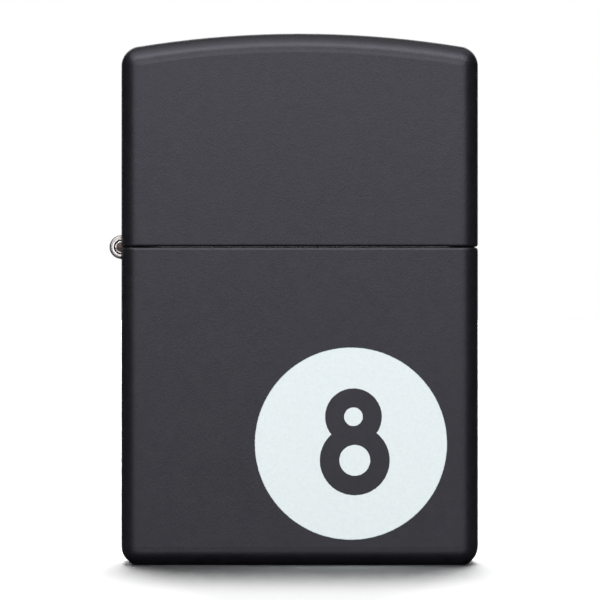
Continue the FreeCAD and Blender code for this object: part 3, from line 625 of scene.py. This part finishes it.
def route_frames(points):
    """Point, in-plane normal and distance along, for each point of a route in the XZ plane."""
    frames, travelled = [], 0.0
    for i, point in enumerate(points):
        ahead = points[min(i + 1, len(points) - 1)] - points[max(i - 1, 0)]
        ahead.normalize()
        if i:
            travelled += (point - points[i - 1]).length
        frames.append((point, Vector((ahead.z, 0, -ahead.x)), travelled))
    return frames


def tube_mesh(lines, sides):
    """Vertices and faces of closed-ended tubes; each line is a list of (centre, across, up, radius)."""
    vertices, faces = [], []
    for line in lines:
        first = len(vertices)
        for centre, across, up, radius in line:
            for k in range(sides):
                angle = 2 * math.pi * k / sides
                aside, above = radius * math.cos(angle), radius * math.sin(angle)
                vertices.append(centre + across * aside + up * above)
        for i in range(len(line) - 1):
            for k in range(sides):
                a, b = first + i * sides + k, first + i * sides + (k + 1) % sides
                faces.append((a, b, b + sides, a + sides))
        last = first + (len(line) - 1) * sides
        faces.append(tuple(range(first + sides - 1, first - 1, -1)))
        faces.append(tuple(range(last, last + sides)))
    return vertices, faces


def mesh_from(name, vertices, faces):
    """Smooth-shaded mesh from its points and faces."""
    mesh = bpy.data.meshes.new(name)
    mesh.from_pydata([tuple(v) for v in vertices], [], faces)
    mesh.shade_smooth()
    mesh.update()
    return mesh


def strand_line(frames, carrier, way, radius, ride_out=0.0):
    """One strand of the braid, weaving over and under those that wind the other way."""
    line = []
    winding = 2 * math.pi / BRAID_PITCH
    for point, normal, along in frames:
        angle = way * (2 * math.pi * carrier / CARRIERS + winding * along)
        weave = way * BRAID_LIFT * math.cos(CARRIERS * winding * along)
        outward = normal * math.cos(angle) + ACROSS * math.sin(angle)
        reach = WICK_R - STRAND_R - BRAID_LIFT + weave + ride_out
        line.append((point + outward * reach, outward))
    tube = []
    for i, (centre, outward) in enumerate(line):
        ahead = line[min(i + 1, len(line) - 1)][0] - line[max(i - 1, 0)][0]
        ahead.normalize()
        across = ahead.cross(outward).normalized()
        tube.append((centre, across, across.cross(ahead), radius))
    return tube


def make_wick():
    """Braid of cotton strands round a plain core, with two copper wires wound into it."""
    frames = route_frames(wick_route())
    strands = [strand_line(frames, k, way, STRAND_R) for k in range(CARRIERS) for way in (1, -1)]
    core = [(point, normal, ACROSS, WICK_R - 2 * STRAND_R) for point, normal, _ in frames]
    braid = mesh_from("wick_braid", *tube_mesh(strands + [core], STRAND_SIDES))
    wick = add_piece("wick_braid", braid, WICK_COTTON, "case")
    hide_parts("wick")
    wires = [strand_line(frames, k + 0.5, 1, COPPER_R, STRAND_R) for k in (0, CARRIERS // 2)]
    copper = mesh_from("wick_wires", *tube_mesh(wires, COPPER_SIDES))
    add_piece("wick_wires", copper, BRASS, "case")


make_wick()


# ---------------------------------------------------------------- flint spring
def make_flint_spring():
    """Copy of the flint spring as it stands, with its finish, in place of the solid."""
    coil = bpy.data.objects.new("flint_spring_coil", nodes["flint_spring"].data.copy())
    bpy.context.scene.collection.objects.link(coil)
    dress(coil, SPRING_STEEL)
    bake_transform(coil)
    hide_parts("flint_spring")


make_flint_spring()


# ---------------------------------------------------------------- packing and felt
ROUNDING = 0.5                     # pull of each smoothing pass
ROUNDING_PASSES = 6
LUMP_NOISE = (0.6, 2.0, 3)         # fall-off, step in size and number of its layers


def soft_copy(name, node, material, voxel, dent, lump):
    """Soft pad made from its solid: remeshed, rounded off, and lumpy inside the solid's own space."""
    data = nodes[node].data.copy()
    piece = add_piece(name, data, material, "case")
    remesh = piece.modifiers.new("even_mesh", "REMESH")
    remesh.mode = "VOXEL"
    remesh.voxel_size = voxel
    smooth = piece.modifiers.new("rounded", "SMOOTH")
    smooth.factor = ROUNDING
    smooth.iterations = ROUNDING_PASSES
    bpy.context.view_layer.update()
    evaluated = piece.evaluated_get(bpy.context.evaluated_depsgraph_get())
    mesh = bpy.data.meshes.new_from_object(evaluated)
    piece.modifiers.clear()
    piece.data = mesh
    dress(piece, material)
    for vertex in mesh.vertices:
        depth = 0.5 + 0.5 * noise.fractal(vertex.co / lump, *LUMP_NOISE)
        vertex.co -= vertex.normal * (dent * depth)
    mesh.shade_smooth()
    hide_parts(node)


for number in range(1, PADS + 1):
    soft_copy(f"cotton_wool_{number}", f"packing_{number}", COTTON_WOOL,
              voxel=0.4 * MM, dent=0.25 * MM, lump=1.6 * MM)
soft_copy("felt_closing_pad", "felt_pad", FELT,
          voxel=0.35 * MM, dent=0.08 * MM, lump=0.8 * MM)


# ---------------------------------------------------------------- studio
def look_at(obj, target):
    """Turns a lamp to a point."""
    obj.rotation_euler = (Vector(target) - obj.location).to_track_quat("-Z", "Y").to_euler()


def add_lamp(name, light, receivers):
    """Lamp that lights only its receivers and isn't seen itself."""
    lamp = bpy.data.objects.new(name, light)
    bpy.context.scene.collection.objects.link(lamp)
    lamp.visible_camera = False
    lamp.light_linking.receiver_collection = receivers
    return lamp


def soft_box(name, place, target, width, height, strength, receivers):
    """Large area light for the lighter alone. Strength is its radiance."""
    light = bpy.data.lights.new(name, "AREA")
    light.shape = "RECTANGLE"
    light.size, light.size_y = width, height
    light.energy = strength * math.pi * width * height
    above_floor = place[2] > 0     # a box below the floor shines up through it
    light.cycles.use_multiple_importance_sampling = above_floor
    lamp = add_lamp(name, light, receivers)
    lamp.location = place
    look_at(lamp, target)
    lamp.light_linking.blocker_collection = receivers


def link_group(name, objects):
    """Collection that lamps are linked to."""
    group = bpy.data.collections.new(name)
    for obj in objects:
        group.objects.link(obj)
    return group


FLOOR_GIVE = 0.12 * MM             # the paper gives a little under the base
FLOOR_HALF = 6.0
PAPER = 0.9
PAPER_REFLECTED = 0.03             # the paper as the lighter reflects it


def make_floor():
    """Pale floor that stays out of the lighter's reflections."""
    corners = [(x * FLOOR_HALF, y * FLOOR_HALF, 0) for x, y in ((-1, -1), (1, -1), (1, 1), (-1, 1))]
    floor = bpy.data.objects.new("floor", mesh_from("floor", corners, [(0, 1, 2, 3)]))
    bpy.context.scene.collection.objects.link(floor)
    floor.location.z = case_low.z + FLOOR_GIVE
    material, tree, shader = new_material("floor_paper", Roughness=1.0, Specular_IOR_Level=0.0,
                                          Base_Color=tint((PAPER,) * 3))
    seen = add_node(tree, "ShaderNodeLightPath").outputs["Is Camera Ray"]
    shade = add_node(tree, "ShaderNodeBsdfDiffuse", {"Color": tint((PAPER_REFLECTED,) * 3)})
    mix = add_node(tree, "ShaderNodeMixShader", {0: seen, 1: shade.outputs[0], 2: shader.outputs[0]})
    tree.links.new(mix.outputs[0], tree.nodes["Material Output"].inputs["Surface"])
    dress(floor, material)
    floor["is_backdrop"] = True
    return floor


def make_sky(seen_strength, lit_strength):
    """White to look at, dim as a light."""
    world = bpy.data.worlds.new("studio")
    world.use_nodes = True
    tree = world.node_tree
    seen = add_node(tree, "ShaderNodeLightPath").outputs["Is Camera Ray"]
    background = tree.nodes["Background"]
    background.inputs["Color"].default_value = (1, 1, 1, 1)
    tree.links.new(span(tree, seen, to=(lit_strength, seen_strength)), background.inputs["Strength"])
    bpy.context.scene.world = world


FLOOR_FILL = 0.011                 # floor's light from all over the front
FILL_ANGLE, FILL_LEAN = math.radians(60), math.radians(25)
# Slices of the floor's light: lean to the back in degrees, from and to, and light.
FLOOR_SLICES = ((5, 10, 0.025), (10, 15, 0.105), (15, 20, 0.110), (20, 25, 0.165), (25, 30, 0.180),
                (30, 35, 0.170), (35, 40, 0.150), (40, 46, 0.075), (74, 82, 0.615))
FLOOR_LIGHT_SPREAD = 24.0          # degrees from side to side
FLOOR_LIGHT_DISTANCE = 30.0
FLOOR_WHITE = 1.0 / PAPER


def floor_fill(receivers):
    """Broad weak light from the front and above."""
    sun = bpy.data.lights.new("floor_fill", "SUN")
    sun.angle = FILL_ANGLE
    sun.energy = FLOOR_FILL * FLOOR_WHITE * math.pi
    add_lamp("floor_fill", sun, receivers).rotation_euler = (FILL_LEAN, 0, 0)


def floor_slice(low, high, share, receivers):
    """Slice of a tall narrow light behind the lighter, which lays its soft shadow forward on the floor."""
    lean = math.radians((low + high) / 2)
    light = bpy.data.lights.new("floor_slice", "AREA")
    light.shape = "RECTANGLE"
    light.size = 2 * FLOOR_LIGHT_DISTANCE * math.tan(math.radians(FLOOR_LIGHT_SPREAD / 2))
    light.size_y = 2 * FLOOR_LIGHT_DISTANCE * math.tan(math.radians((high - low) / 2))
    light.energy = share * FLOOR_WHITE * math.pi ** 2 * FLOOR_LIGHT_DISTANCE ** 2 / math.cos(lean)
    lamp = add_lamp("floor_slice", light, receivers)
    lamp.location = FLOOR_LIGHT_DISTANCE * Vector((0, math.sin(lean), math.cos(lean)))
    look_at(lamp, (0, 0, 0))


# Strips of light on the lighter: degrees above the level, from and to, and radiance.
FRONT_STRIPS = ((-34, -18, 1.63), (-3, 11, 1.3), (11, 26, 3.87), (42, 60, 5.46), (60, 86, 1.68),
                (86, 120, 0.67))
STRIP_DISTANCE = 500 * MM
STRIP_LENGTH = 1020 * MM
STRIP_SHIFT = -20 * MM


def front_strip(low, high, strength, middle, receivers):
    """Long level soft box on an arch in front of the lighter and over it."""
    lean = math.radians((low + high) / 2)
    height = 2 * STRIP_DISTANCE * math.tan(math.radians(high - low) / 2)
    place = middle + Vector((STRIP_SHIFT, -STRIP_DISTANCE * math.cos(lean), STRIP_DISTANCE * math.sin(lean)))
    soft_box("front_strip", place, middle, STRIP_LENGTH, height, strength, receivers)


SKY_SEEN = 1.0
SKY_LIT = 0.02
BACK_BOX_PLACE = (0, 0.95, 0.25)
BACK_BOX_WIDTH = 0.9
BACK_BOX_HEIGHT = 0.8
BACK_BOX_STRENGTH = 2.0


def make_studio():
    """Floor and sky, soft boxes for the lighter, and the floor's own lights."""
    floor = make_floor()
    make_sky(SKY_SEEN, SKY_LIT)
    lighter = link_group("lighter_pieces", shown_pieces())
    floor_only = link_group("floor_only", [floor])
    middle = Vector((0, 0, OVERALL_HEIGHT / 2))
    for low, high, strength in FRONT_STRIPS:
        front_strip(low, high, strength, middle, lighter)
    soft_box("back_box", BACK_BOX_PLACE, middle, BACK_BOX_WIDTH, BACK_BOX_HEIGHT, BACK_BOX_STRENGTH, lighter)
    floor_fill(floor_only)
    for low, high, share in FLOOR_SLICES:
        floor_slice(low, high, share, floor_only)
    view = bpy.context.scene.view_settings
    view.view_transform = "Standard"
    view.look = "None"


make_studio()
